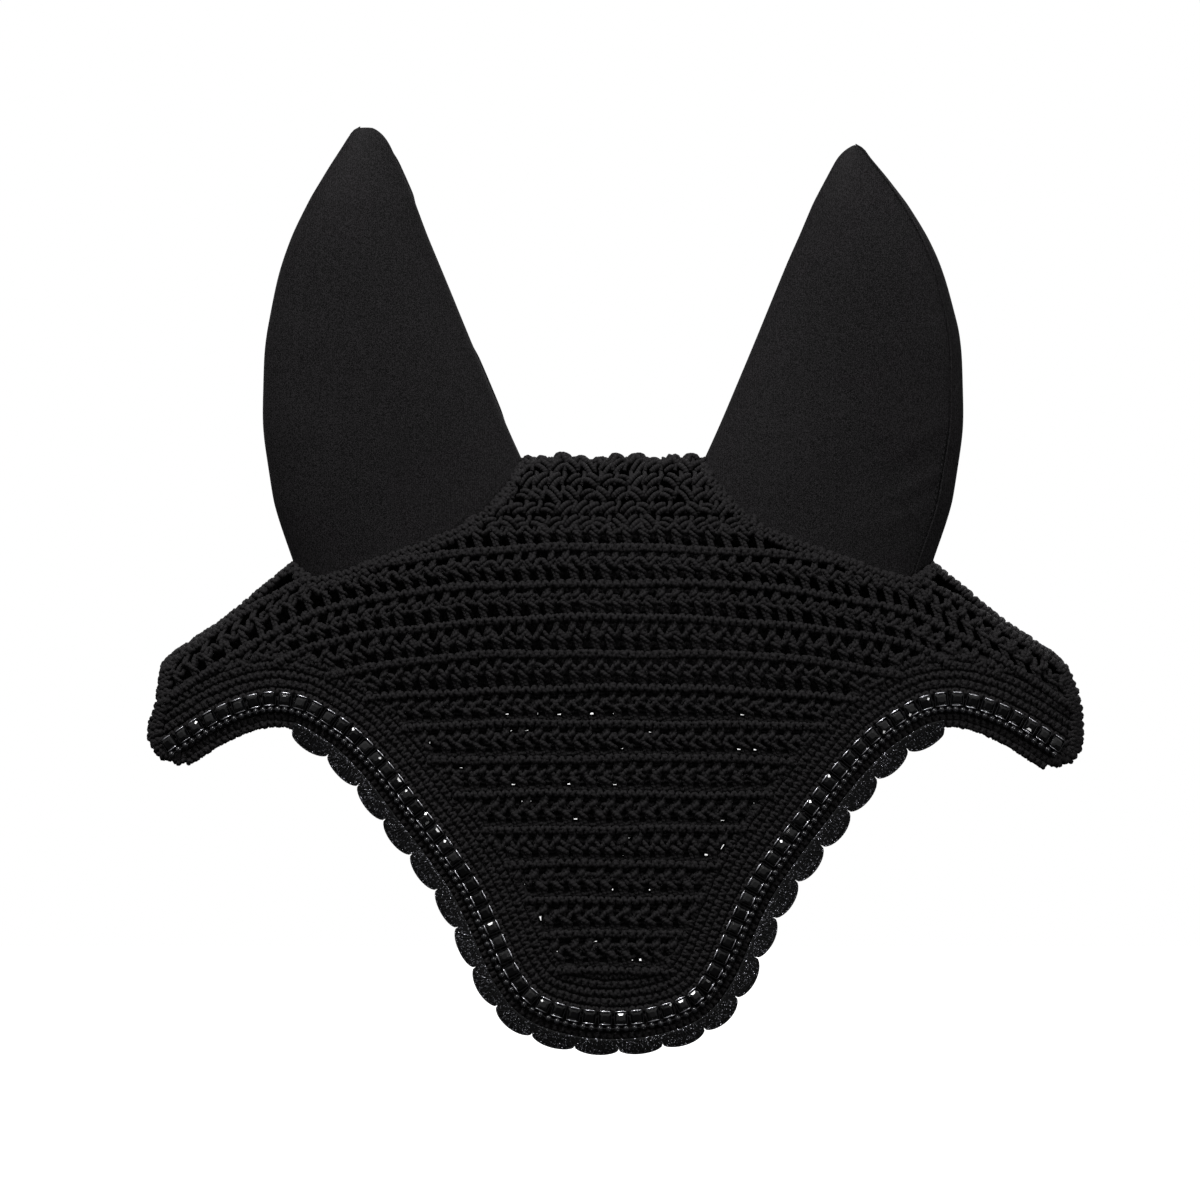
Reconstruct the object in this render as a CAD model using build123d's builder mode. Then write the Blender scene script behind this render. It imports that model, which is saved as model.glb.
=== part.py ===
"""Crocheted ear bonnet (fly mask) for a horse: an open hood of crochet with two fabric ears,
a chain of square stones, a string of beads, a rolled edge and a scalloped lace.

Frame: +Z up, +X across the head, the brow faces -Y. The origin is inside the top of the crown,
where the bonnet sits on the poll. All sizes are in millimetres.
"""
import math
import os

from build123d import *

os.makedirs("parts", exist_ok=True)

# ---- Driving dimensions -------------------------------------------------------------------
HOOD_HALF_WIDTH = 216.0     # middle to the tip of a cheek wing
HOOD_HALF_DEPTH = 38.0      # half of the mouth, front to back
FRONT_DROP = 256.5          # crown top down to the stone chain at the forehead point
REAR_DROP = 112.0           # crown top down to the edge of the poll panel
CROCHET = 3.6               # thickness of the crochet
CROWN_HALF_DEPTH = 6.5      # half depth of the fold at the crown
BORDER_WIDTH = 21.0         # plain border, from its inner line to the middle of the chain
REAR_BORDER_WIDTH = 10.0
RIM_WIDTH = 4.5             # crochet rim round each ear opening

EAR_HEIGHT = 152.0          # crown top up to an ear's tip
EAR_HALF_DEPTH = 19.0       # half of the ear pocket, front to back, at its base
EAR_FABRIC = 1.4
EAR_SEAM_WIDTH = 3.0        # sewn seam down the outer edge of an ear
EAR_CLEARANCE = 0.9         # between an ear's base and the crochet rim
EAR_CORNER = 7.5            # an ear stops this far short of its opening's inner corner

STONE = 5.5                 # side of a square stone
STONE_HEIGHT = 2.6
STONE_TABLE = 3.2           # flat facet on top of a stone
CUP_WALL = 0.3
CUP_HEIGHT = 1.7
CUP_FLOOR = 0.5
CUP_GAP = 1.0               # between neighbouring cups
STONE_CLEARANCE = 0.03      # between a stone and its cup
BEAD = 2.9                  # diameter of a bead
BEAD_GAP = 0.85             # between neighbouring beads
TRIM_GAP = 0.4              # between the cups and the beads, and under both
EDGE_WIDTH = 6.2            # rolled edge below the beads
LACE_PITCH = 20.0           # from cusp to cusp
LACE_BAND = 1.5             # straight part of the lace below the rolled edge
LACE_RISE = 3.6             # a scallop beyond its cusps
LACE_THICKNESS = 1.2
LACE_GAP = 0.05             # between the lace and the rolled edge

# ---- Sizes that follow ----------------------------------------------------------------------
CUP = STONE + 2 * (CUP_WALL + STONE_CLEARANCE)
CUP_PITCH = CUP + CUP_GAP
BEAD_PITCH = BEAD + BEAD_GAP
BEAD_LINE = CUP / 2 + TRIM_GAP + BEAD / 2
EDGE_START = BEAD_LINE + BEAD / 2 + TRIM_GAP
EDGE_END = EDGE_START + EDGE_WIDTH
CROWN_TOP = CROCHET
REACH = 2 * HOOD_HALF_WIDTH     # longer than any cut

# Outlines are drawn for a hood 216 wide each side, 256.5 down to the chain and 152 up to the ear
# tips, and stretch with those sizes. x is out from the middle, z is from the crown's top.
STRETCH_X = HOOD_HALF_WIDTH / 216.0
STRETCH_DOWN = FRONT_DROP / 256.5
STRETCH_UP = EAR_HEIGHT / 152.0

# Level, half width and half depth of the hood; depths are shares of the mouth's.
HOOD_LEVELS = [
    (0.0, 44.0, CROWN_HALF_DEPTH / HOOD_HALF_DEPTH), (-10.0, 70.0, 0.46), (-24.0, 102.0, 0.68),
    (-48.5, 148.0, 0.86), (-58.5, 160.5, 0.91), (-74.0, 179.0, 0.96), (-88.0, 200.0, 0.99),
    (-98.0, 211.0, 1.0), (-112.0, 216.0, 1.0), (-290.0, 216.0, 1.0),
]
# Lowest line of each ear opening, from the crown's corner out to the side fold.
EAR_BASE = [(41.5, 1.0), (46.5, -10.0), (55.0, -20.5), (65.0, -29.2), (77.0, -35.0), (91.0, -40.5),
            (106.0, -45.5), (119.0, -50.5), (130.0, -54.0), (139.0, -54.5), (149.5, -47.5)]
# Edge of a cheek wing, from the side fold round its tip.
WING = [(213.0, -98.0), (211.5, -107.0), (213.0, -117.0), (216.5, -127.0), (215.5, -133.0),
        (209.0, -140.0)]
# Middle line of the stone chain, from the forehead point out to a wing's tip.
CHAIN = [(15.5, -255.2), (30.0, -251.0), (38.5, -245.5), (44.0, -238.5), (48.5, -230.5),
         (55.5, -214.5), (64.5, -196.0), (77.0, -177.5), (90.5, -160.0), (103.0, -143.5),
         (117.0, -128.5), (129.0, -119.5), (142.0, -112.5), (157.0, -110.5), (172.0, -114.0),
         (187.0, -121.0), (206.0, -133.0)]
# Level above the crown's top, inner and outer edge, and share of the pocket's depth.
EAR_LEVELS = [
    (152.0, 109.0, 117.5, 0.07), (145.0, 103.0, 122.5, 0.22), (135.0, 98.5, 129.0, 0.38),
    (120.0, 91.8, 137.6, 0.55), (103.0, 85.6, 146.2, 0.68), (85.0, 78.0, 152.6, 0.79),
    (52.0, 64.5, 159.0, 0.93), (14.0, 48.5, 160.0, 1.0), (-24.0, 31.0, 154.2, 1.0),
    (-62.0, 14.0, 143.0, 1.0),
]
CROWN_FRONT = Plane(origin=(0, 0, CROWN_TOP), x_dir=(1, 0, 0), z_dir=(0, -1, 0))
CROWN_LEVEL = Plane.XY.offset(CROWN_TOP)
SIDES = {"left": -1, "right": 1}
CHAIN_SAMPLES = 60


def placed(points, side=1):
    """Outline points at the real size, on one side of the middle."""
    return [(side * x * STRETCH_X, z * (STRETCH_UP if z > 0 else STRETCH_DOWN)) for x, z in points]


# ---- The line that the trim follows -----------------------------------------------------------
chain_points = [*reversed(placed(CHAIN, -1)), (0, -FRONT_DROP), *placed(CHAIN)]
chain_line = Spline(*chain_points)


def trim_point(share, offset):
    """Point beside the chain: share runs from wing tip to wing tip, offset is outwards."""
    at = chain_line.position_at(share)
    along = chain_line.tangent_at(share)
    return (at.X + along.Y * offset, at.Y - along.X * offset)


def trim_line(offset, run_out=40.0):
    """Line beside the chain, run out straight past both wing tips."""
    line = [trim_point(i / CHAIN_SAMPLES, offset) for i in range(CHAIN_SAMPLES + 1)]
    first = chain_line.tangent_at(0) * run_out
    last = chain_line.tangent_at(1) * run_out
    return [(line[0][0] - first.X, line[0][1] - first.Y), *line,
            (line[-1][0] + last.X, line[-1][1] + last.Y)]


def shares(pitch):
    """Evenly spaced places on the chain for pieces one pitch apart."""
    count = int(chain_line.length / pitch)
    return [(i + 0.5) / count for i in range(count)]


def seat(share, offset, lift):
    """Plane on the crochet beside the chain, facing out, with its x along the chain."""
    x, z = trim_point(share, offset)
    along = chain_line.tangent_at(share)
    slope = math.sqrt(1 - (x / HOOD_HALF_WIDTH) ** 2)
    y = -HOOD_HALF_DEPTH * slope
    out = Vector(x / HOOD_HALF_WIDTH ** 2, y / HOOD_HALF_DEPTH ** 2, 0).normalized()
    level = Vector(0, 0, 1).cross(out)
    x_dir = level * along.X + Vector(0, 0, 1) * along.Y
    return Plane(origin=Vector(x, y, z + CROWN_TOP) + out * lift, x_dir=x_dir, z_dir=out)


# ---- Hood shells --------------------------------------------------------------------------------
def hood_form(inset):
    """Solid hood, smaller all round and at the top by the inset."""
    with BuildPart() as form:
        for z, half_width, depth_share in HOOD_LEVELS:
            top = inset if z == 0 else 0
            with BuildSketch(CROWN_LEVEL.offset(z * STRETCH_DOWN - top)):
                Ellipse(half_width * STRETCH_X - inset, depth_share * HOOD_HALF_DEPTH - inset)
        loft(ruled=True)
    return form.part


with BuildPart() as hood_shell:
    add(hood_form(0))
    add(hood_form(CROCHET), mode=Mode.SUBTRACT)

with BuildPart() as lace_shell:
    add(hood_form(CROCHET / 2 - LACE_THICKNESS / 2))
    add(hood_form(CROCHET / 2 + LACE_THICKNESS / 2), mode=Mode.SUBTRACT)


def region(points):
    """Slab through the whole hood, with the outline of the points."""
    with BuildPart() as slab:
        with BuildSketch(CROWN_FRONT):
            with BuildLine():
                Polyline(*points, close=True)
            make_face()
        extrude(amount=REACH, both=True)
    return slab.part


def curved_line(points):
    """Smooth line through the points, as points close together."""
    line = Spline(*points)
    return [(line.position_at(i / 40).X, line.position_at(i / 40).Y) for i in range(41)]


def ear_opening(side, growth, corner=0.0):
    """Slab over one ear opening, its lowest line moved down and its inner side moved out."""
    line = [(x, z - growth) for x, z in curved_line(placed(EAR_BASE, side))]
    inner = line[0][0] + side * corner
    line = [(inner, line[0][1])] + [point for point in line if side * (point[0] - inner) > 0]
    top = EAR_HEIGHT + CROCHET
    return region([*line, (side * REACH, line[-1][1]), (side * REACH, top), (inner, top)])


ear_openings = {name: ear_opening(side, 0) for name, side in SIDES.items()}
rim_openings = {name: ear_opening(side, RIM_WIDTH) for name, side in SIDES.items()}
outline = region([*reversed(placed(WING, -1)), (-REACH, WING[0][1]), (-REACH, EAR_HEIGHT),
                  (REACH, EAR_HEIGHT), (REACH, WING[0][1]), *placed(WING),
                  *reversed(trim_line(EDGE_END)[2:-2])])
above_border = region([(-REACH, EAR_HEIGHT), (-REACH, placed(WING)[0][1]),
                       *trim_line(-BORDER_WIDTH), (REACH, placed(WING)[0][1]),
                       (REACH, EAR_HEIGHT)])
above_edge = region([(-REACH, EAR_HEIGHT), *trim_line(EDGE_START), (REACH, EAR_HEIGHT)])


def half_space(y_side):
    """Everything in front of (-1) or behind (+1) the side folds."""
    with BuildPart() as half:
        with BuildSketch(Plane.XZ):
            Rectangle(4 * REACH, 4 * REACH)
        extrude(amount=-y_side * REACH)
    return half.part


front_half = half_space(-1)
rear_half = half_space(1)

# ---- Crochet: brow net, borders, rolled edge ---------------------------------------------------
with BuildPart() as front_net:
    add(hood_shell.part)
    add(front_half, mode=Mode.INTERSECT)
    add(outline, mode=Mode.INTERSECT)
    add(above_border, mode=Mode.INTERSECT)
    for opening in rim_openings.values():
        add(opening, mode=Mode.SUBTRACT)
front_net.part.label = "front_net"
export_step(front_net.part, "parts/front_net.step")

with BuildPart() as front_border:
    add(hood_shell.part)
    add(front_half, mode=Mode.INTERSECT)
    add(outline, mode=Mode.INTERSECT)
    add(above_border, mode=Mode.SUBTRACT)
    add(above_edge, mode=Mode.INTERSECT)
front_border.part.label = "front_border"
export_step(front_border.part, "parts/front_border.step")

with BuildPart() as rolled_edge:
    add(hood_shell.part)
    add(front_half, mode=Mode.INTERSECT)
    add(outline, mode=Mode.INTERSECT)
    add(above_edge, mode=Mode.SUBTRACT)
rolled_edge.part.label = "rolled_edge"
export_step(rolled_edge.part, "parts/rolled_edge.step")


def rear_line(rise):
    """Lower edge of the poll panel: level behind, dropping into the wing tips."""
    tip_x, tip_z = placed(WING)[-1]
    start = placed([(150.0, -1.0)])[0][0]
    curve = [(start + (tip_x - start) * i / 12,
              -REAR_DROP + (tip_z + REAR_DROP) * (i / 12) ** 1.6 + rise) for i in range(13)]
    return [*[(-x, z) for x, z in reversed(curve)], *curve]


above_rear_edge = region([(-REACH, EAR_HEIGHT), (-REACH, rear_line(0)[0][1]), *rear_line(0),
                          (REACH, rear_line(0)[0][1]), (REACH, EAR_HEIGHT)])
above_rear_border = region([(-REACH, EAR_HEIGHT), (-REACH, rear_line(REAR_BORDER_WIDTH)[0][1]),
                            *rear_line(REAR_BORDER_WIDTH),
                            (REACH, rear_line(REAR_BORDER_WIDTH)[0][1]), (REACH, EAR_HEIGHT)])

with BuildPart() as poll_panel:
    add(hood_shell.part)
    add(rear_half, mode=Mode.INTERSECT)
    add(outline, mode=Mode.INTERSECT)
    add(above_rear_border, mode=Mode.INTERSECT)
    for opening in rim_openings.values():
        add(opening, mode=Mode.SUBTRACT)
poll_panel.part.label = "poll_panel"
export_step(poll_panel.part, "parts/poll_panel.step")

with BuildPart() as poll_border:
    add(hood_shell.part)
    add(rear_half, mode=Mode.INTERSECT)
    add(outline, mode=Mode.INTERSECT)
    add(above_rear_edge, mode=Mode.INTERSECT)
    add(above_rear_border, mode=Mode.SUBTRACT)
poll_border.part.label = "poll_border"
export_step(poll_border.part, "parts/poll_border.step")

for name, side in SIDES.items():
    with BuildPart() as ear_rim:
        add(hood_shell.part)
        add(rim_openings[name], mode=Mode.INTERSECT)
        add(ear_openings[name], mode=Mode.SUBTRACT)
    ear_rim.part.label = f"{name}_ear_rim"
    export_step(ear_rim.part, f"parts/{name}_ear_rim.step")


# ---- Fabric ears --------------------------------------------------------------------------------
def ear_form(side, inset):
    """Solid ear, smaller all round by the inset."""
    with BuildPart() as form:
        for z, inner, outer, depth_share in EAR_LEVELS:
            stretch = STRETCH_UP if z > 0 else STRETCH_DOWN
            middle = side * (inner + outer) / 2 * STRETCH_X
            top = inset if z == EAR_LEVELS[0][0] else 0
            half_depth = max(depth_share * EAR_HALF_DEPTH - inset, 0.3)
            with BuildSketch(CROWN_LEVEL.offset(z * stretch - top)):
                with Locations((middle, 0)):
                    Ellipse((outer - inner) / 2 * STRETCH_X - inset, half_depth)
        loft(ruled=True)
    return form.part


def ear_seam_zone(side):
    """Slab over the sewn seam down the outer edge of an ear."""
    edge = [(outer, z) for z, inner, outer, depth_share in EAR_LEVELS]
    inner_line = [(x - side * EAR_SEAM_WIDTH, z) for x, z in placed(edge, side)]
    top = inner_line[0][0], EAR_HEIGHT + CROCHET
    bottom = inner_line[-1][0], -FRONT_DROP
    return region([top, *inner_line, bottom, (side * REACH, -FRONT_DROP), (side * REACH, top[1])])


for name, side in SIDES.items():
    with BuildPart() as ear_shell:
        add(ear_form(side, 0))
        add(ear_form(side, EAR_FABRIC), mode=Mode.SUBTRACT)
        add(ear_opening(side, -EAR_CLEARANCE, EAR_CORNER), mode=Mode.INTERSECT)
    seam_zone = ear_seam_zone(side)

    with BuildPart() as ear_front:
        add(ear_shell.part)
        add(front_half, mode=Mode.INTERSECT)
        add(seam_zone, mode=Mode.SUBTRACT)
    ear_front.part.label = f"{name}_ear_front"
    export_step(ear_front.part, f"parts/{name}_ear_front.step")

    with BuildPart() as ear_back:
        add(ear_shell.part)
        add(rear_half, mode=Mode.INTERSECT)
        add(seam_zone, mode=Mode.SUBTRACT)
    ear_back.part.label = f"{name}_ear_back"
    export_step(ear_back.part, f"parts/{name}_ear_back.step")

    with BuildPart() as ear_seam:
        add(ear_shell.part)
        add(seam_zone, mode=Mode.INTERSECT)
    ear_seam.part.label = f"{name}_ear_seam"
    export_step(ear_seam.part, f"parts/{name}_ear_seam.step")

# ---- Stone chain, beads and lace ----------------------------------------------------------------
with BuildPart() as cup:
    Box(CUP, CUP, CUP_HEIGHT, align=(Align.CENTER, Align.CENTER, Align.MIN))
    with Locations((0, 0, CUP_FLOOR)):
        Box(CUP - 2 * CUP_WALL, CUP - 2 * CUP_WALL, CUP_HEIGHT,
            align=(Align.CENTER, Align.CENTER, Align.MIN), mode=Mode.SUBTRACT)

with BuildPart() as stone_cups:
    with Locations(*[seat(share, 0, TRIM_GAP) for share in shares(CUP_PITCH)]):
        add(cup.part)
stone_cups.part.label = "stone_cups"
export_step(stone_cups.part, "parts/stone_cups.step")

STONE_SEAT = TRIM_GAP + CUP_FLOOR + STONE_CLEARANCE
GIRDLE_HEIGHT = CUP_HEIGHT - CUP_FLOOR
with BuildPart() as stone:
    Box(STONE, STONE, GIRDLE_HEIGHT, align=(Align.CENTER, Align.CENTER, Align.MIN))
    with BuildSketch(Plane.XY.offset(GIRDLE_HEIGHT)):
        Rectangle(STONE, STONE)
    with BuildSketch(Plane.XY.offset(STONE_HEIGHT)):
        Rectangle(STONE_TABLE, STONE_TABLE)
    loft(ruled=True)

with BuildPart() as stones:
    with Locations(*[seat(share, 0, STONE_SEAT) for share in shares(CUP_PITCH)]):
        add(stone.part)
stones.part.label = "stones"
export_step(stones.part, "parts/stones.step")

with BuildPart() as beads:
    with Locations(*[seat(share, BEAD_LINE, TRIM_GAP + BEAD / 2) for share in shares(BEAD_PITCH)]):
        Sphere(BEAD / 2)
beads.part.label = "beads"
export_step(beads.part, "parts/beads.step")

# The lace runs between the peaks of the mouth, behind the lowest line of the rolled edge.
LACE_RADIUS = (LACE_RISE ** 2 + (LACE_PITCH / 2) ** 2) / (2 * LACE_RISE)
LACE_CENTRES = EDGE_END + LACE_BAND + LACE_RISE - LACE_RADIUS
lace_reach = placed([(150.0, -1.0)])[0][0]
lace_start = next(i / 500 for i in range(500) if trim_point(i / 500, EDGE_END)[0] > -lace_reach)
lace_length = chain_line.length * (1 - 2 * lace_start)
scallops = round(lace_length / LACE_PITCH)
lace_ends = trim_point(lace_start, EDGE_END)[0], trim_point(1 - lace_start, EDGE_END)[0]
with BuildPart() as scallop_lace:
    with BuildSketch(CROWN_FRONT):
        with BuildLine():
            Polyline(*[point for point in trim_line(EDGE_END) if lace_ends[0] < point[0] < lace_ends[1]],
                     *[point for point in reversed(trim_line(EDGE_END + LACE_BAND))
                       if lace_ends[0] < point[0] < lace_ends[1]], close=True)
        make_face()
        for i in range(scallops):
            share = lace_start + (i + 0.5) / scallops * (1 - 2 * lace_start)
            with Locations(trim_point(share, LACE_CENTRES)):
                Circle(LACE_RADIUS)
        with BuildLine():
            Polyline((-REACH, REACH), *trim_line(EDGE_END + LACE_GAP), (REACH, REACH), close=True)
        make_face(mode=Mode.SUBTRACT)
    extrude(amount=REACH)
    add(lace_shell.part, mode=Mode.INTERSECT)
scallop_lace.part.label = "scallop_lace"
export_step(scallop_lace.part, "parts/scallop_lace.step")

print("stones", len(shares(CUP_PITCH)), "beads", len(shares(BEAD_PITCH)), "scallops", scallops,
      "chain length", round(chain_line.length, 1))
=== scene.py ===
"""Visual model of a crocheted ear bonnet: yarn, fabric ears, stone chain, beads and lace."""
import math

import bpy
import numpy as np
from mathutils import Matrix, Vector


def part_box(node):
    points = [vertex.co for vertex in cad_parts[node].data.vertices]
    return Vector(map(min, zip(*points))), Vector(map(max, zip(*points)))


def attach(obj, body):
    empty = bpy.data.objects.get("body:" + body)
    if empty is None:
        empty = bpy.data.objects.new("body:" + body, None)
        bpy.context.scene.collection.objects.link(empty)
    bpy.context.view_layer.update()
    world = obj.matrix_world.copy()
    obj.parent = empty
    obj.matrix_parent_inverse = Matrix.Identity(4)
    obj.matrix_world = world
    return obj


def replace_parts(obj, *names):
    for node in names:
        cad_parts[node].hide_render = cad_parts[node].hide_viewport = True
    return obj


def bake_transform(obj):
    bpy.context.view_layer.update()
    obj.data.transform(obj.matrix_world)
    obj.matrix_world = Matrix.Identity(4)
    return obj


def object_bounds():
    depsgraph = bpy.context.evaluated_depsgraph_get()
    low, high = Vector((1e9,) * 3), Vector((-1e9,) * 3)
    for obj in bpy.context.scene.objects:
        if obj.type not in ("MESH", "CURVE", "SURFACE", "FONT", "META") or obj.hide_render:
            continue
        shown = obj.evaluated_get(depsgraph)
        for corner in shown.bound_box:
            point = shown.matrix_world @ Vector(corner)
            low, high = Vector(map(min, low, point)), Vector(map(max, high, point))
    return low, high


bl_info = {
    "name": "Crocheted ear bonnet",
    "version": (1, 0, 0),
    "blender": (4, 5, 0),
    "location": "View3D > Sidebar > Bonnet",
    "description": "Builds the yarn, fabric and trim of a horse's ear bonnet around its frame",
    "category": "Object",
}

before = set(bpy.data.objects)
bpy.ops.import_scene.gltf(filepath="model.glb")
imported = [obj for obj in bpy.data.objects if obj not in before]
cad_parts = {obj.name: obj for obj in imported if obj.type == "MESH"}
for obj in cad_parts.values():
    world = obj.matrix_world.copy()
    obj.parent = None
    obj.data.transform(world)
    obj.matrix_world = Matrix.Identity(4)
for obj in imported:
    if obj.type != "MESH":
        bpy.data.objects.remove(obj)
CAD_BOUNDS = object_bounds()
MM = 0.001


def node_box(name):
    """Lowest and highest corner of a frame node, in millimetres."""
    low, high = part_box(name)
    return np.array(low) / MM, np.array(high) / MM


# ---- Form of the hood and the ears, in millimetres; z is measured from the crown's top ------
HALF_WIDTH = node_box("front_border")[1][0]
HALF_DEPTH = -node_box("front_border")[0][1]
CROWN_TOP = node_box("front_net")[1][2]
BORDER_WIDTH = 21.0     # plain border, from its inner line to the stone chain
BEAD_LINE = 4.93        # the lines below are this far outside the stone chain
EDGE_START = 6.8
EDGE_END = 13.0
REAR_DROP = 112.0       # crown's top down to the edge of the poll panel
TIP_DROP = 28.0         # how much lower that edge is at the wing tips
CUP_PITCH = 7.16
BACKING_LIFT = -2.6     # lining yarns lie this far inside the hood's outer surface
EAR_HALF_DEPTH = 19.0
INNER_CORNER = 41.5     # inner end of an ear's base, from the middle

# Level, half width, and depth as a share of the mouth's.
HOOD_LEVELS = [(6, 40, 0.12), (0, 44, 0.17), (-10, 70, 0.46), (-24, 102, 0.68), (-48.5, 148, 0.86),
               (-58.5, 160.5, 0.91), (-74, 179, 0.96), (-88, 200, 0.99), (-98, 211, 1),
               (-112, 216, 1), (-290, 216, 1)]
EAR_BASE = [(INNER_CORNER, 1), (46.5, -10), (55, -20.5), (65, -29.2), (77, -35), (91, -40.5),
            (106, -45.5), (119, -50.5), (130, -54), (139, -54.5), (149.5, -47.5)]
# Level and reach of the crochet at the rounded wing tips.
WING_TIPS = {-1: [(-91, 206), (-98, 208), (-110, 208.5), (-120, 211), (-128, 212.8),
                  (-134, 211), (-138, 206), (-140.5, 200), (-141.5, 190)],
             1: [(-91, 205), (-98, 209.5), (-110, 213.5), (-120, 215.4), (-129, 215.8),
                 (-135, 214.5), (-139.5, 210), (-142, 203), (-143, 190)]}
CHAIN = [(0, -256.5), (15.5, -255.2), (30, -251), (38.5, -245.5), (44, -238.5), (48.5, -230.5),
         (55.5, -214.5), (64.5, -196), (77, -177.5), (90.5, -160), (103, -143.5), (117, -128.5),
         (129, -119.5), (142, -112.5), (157, -110.5), (172, -114), (187, -121), (206, -133)]
# Level above the crown's top, inner and outer edge, and share of the pocket's depth.
EAR_LEVELS = [(152.4, 112.6, 114.6, 0.03), (151, 107.5, 119.5, 0.1), (145, 103, 122.8, 0.22),
              (135, 98.5, 129, 0.38), (120, 91.8, 137.6, 0.55), (103, 85.6, 146.2, 0.68),
              (85, 78, 152.6, 0.79), (52, 64.5, 159, 0.93), (14, 48.5, 160, 1),
              (-24, 31, 154.2, 1), (-62, 14, 143, 1)]
SIDES = {"left": -1, "right": 1}
# Place in metres, size and power in watts of each lamp.
LAMPS = {"key": ((-0.5, -0.9, 1.6), 0.5, 34), "fill": ((1.4, -1.2, 0.5), 0.35, 7),
         "back": ((0.4, 1.4, 1.4), 1.0, 14), "low": ((0.3, -1.0, -1.5), 0.2, 1.6),
         "glint_left": ((-1.5, -0.9, 0.5), 0.12, 1.0),
         "glint_right": ((1.3, -0.8, 1.0), 0.12, 1.0)}


def table(rows, smoothing):
    """Looks values up by level, with the corners of the table rounded off."""
    run_on, step = 20, 0.5
    rows = np.array(sorted(rows), float)
    levels = np.arange(rows[0, 0] - run_on, rows[-1, 0] + run_on, step)
    kernel = np.hanning(int(smoothing / step) | 1)
    kernel /= kernel.sum()
    half = len(kernel) // 2
    columns = []
    for column in rows.T[1:]:
        values = np.interp(levels, rows[:, 0], column)
        padded = np.concatenate([np.full(half, values[0]), values, np.full(half, values[-1])])
        columns.append(np.convolve(padded, kernel, "valid"))
    return lambda z: [np.interp(z, levels, column) for column in columns]


hood_at = table(HOOD_LEVELS, 7)
ear_tip_at = table(EAR_LEVELS, 6)
ear_body_at = table(EAR_LEVELS, 34)


def ear_at(levels):
    """Inner and outer edge and depth of an ear: long smooth curves, turning tighter at the tip."""
    tip_start, merging = 124, 34
    share = np.clip((tip_start - levels) / merging, 0, 1)
    return [tip * (1 - share) + body * share
            for tip, body in zip(ear_tip_at(levels), ear_body_at(levels))]


def unit(vectors):
    """The vectors, scaled to length one."""
    return vectors / (np.linalg.norm(vectors, axis=-1)[..., None] + 1e-9)


def resample(line, step):
    """The line with evenly spaced points, about one step apart."""
    length = np.concatenate([[0], np.cumsum(np.linalg.norm(np.diff(line, axis=0), axis=1))])
    places = np.linspace(0, length[-1], max(int(length[-1] / step), 2) + 1)
    return np.stack([np.interp(places, length, column) for column in line.T], axis=1)


def curve_through(points, step):
    """Smooth curve through the points, sampled about one step apart."""
    points = np.array(points, float)
    ends = 2 * points[0] - points[1], 2 * points[-1] - points[-2]
    points = np.vstack([ends[0], points, ends[1]])
    dense = []
    for a, b, c, d in zip(points, points[1:], points[2:], points[3:]):
        t = np.linspace(0, 1, 24, endpoint=False)[:, None]
        dense.append(0.5 * (2 * b + (c - a) * t + (2 * a - 5 * b + 4 * c - d) * t ** 2
                            + (3 * b - a - 3 * c + d) * t ** 3))
    return resample(np.vstack([*dense, points[-2]]), step)


half_chain = np.array(CHAIN, float)
chain_curve = curve_through(np.vstack([half_chain[:0:-1] * (-1, 1), half_chain]), 0.5)
chain_along = unit(np.gradient(chain_curve, axis=0))
chain_out = chain_along[:, ::-1] * (1, -1)


def beside_chain(offset, step, run_out=12.0):
    """Line beside the stone chain, evenly spaced, run out past the wing tips."""
    line = chain_curve + chain_out * offset
    return resample(np.vstack([line[0] - chain_along[0] * run_out, line,
                               line[-1] + chain_along[-1] * run_out]), step)


def on_hood(x, z, lift, rear=False):
    """Place and outward direction of points on the hood; lift is outwards from its surface."""
    x, z, lift = np.broadcast_arrays(x, z, lift)
    half_width, depth = hood_at(z)
    half_depth = depth * HALF_DEPTH
    share = np.clip(x / half_width, -0.9995, 0.9995)
    side = 1.0 if rear else -1.0
    y = side * half_depth * np.sqrt(1 - share ** 2)
    out = unit(np.stack([share / half_width, y / half_depth ** 2, np.zeros_like(y)], axis=-1))
    place = np.stack([share * half_width, y, z + CROWN_TOP], axis=-1)
    return place + out * lift[..., None], out


base_line = np.array(EAR_BASE, float)
fold_levels = np.linspace(-100, -47.5, 60)
fold_width = hood_at(fold_levels)[0]


def crochet_top(x):
    """Upper limit of the brow's crochet: crown, ear openings, then the side folds."""
    x = np.abs(x)
    base = np.interp(x, base_line[:, 0], base_line[:, 1])
    fold = np.interp(x, fold_width[::-1], fold_levels[::-1])
    return np.where(x < base_line[-1, 0], base, fold)


border_line = beside_chain(-BORDER_WIDTH, 1.0)


def border_top(x):
    """Inner line of the brow's plain border."""
    right = border_line[border_line[:, 0] >= 0]
    order = np.argsort(right[:, 0])
    return np.interp(np.abs(x), right[order, 0], right[order, 1])


def rear_edge(x, rise=0.0):
    """Lower edge of the poll panel: level behind, dropping into the wing tips."""
    level_part, bend = 150, 59
    share = np.clip((np.abs(x) - level_part) / bend, 0, 1)
    return -REAR_DROP - TIP_DROP * share ** 1.6 + rise


def within_tips(x, z, margin=1.0):
    """Whether places are inside the rounded wing tips; below the tips the limit slants inwards."""
    slant, inmost = 9, 170
    reach = []
    for side in (-1, 1):
        levels, reaches = np.array(sorted(WING_TIPS[side])).T
        limit = np.interp(z, levels, reaches)
        below = np.maximum(reaches[0] + (z - levels[0]) * slant, inmost)
        limit = np.where(z < levels[0], below, limit)
        reach.append(np.where(z > levels[-1], HALF_WIDTH * 2, limit))
    return np.abs(x) < np.where(x < 0, *reach) - margin


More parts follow.
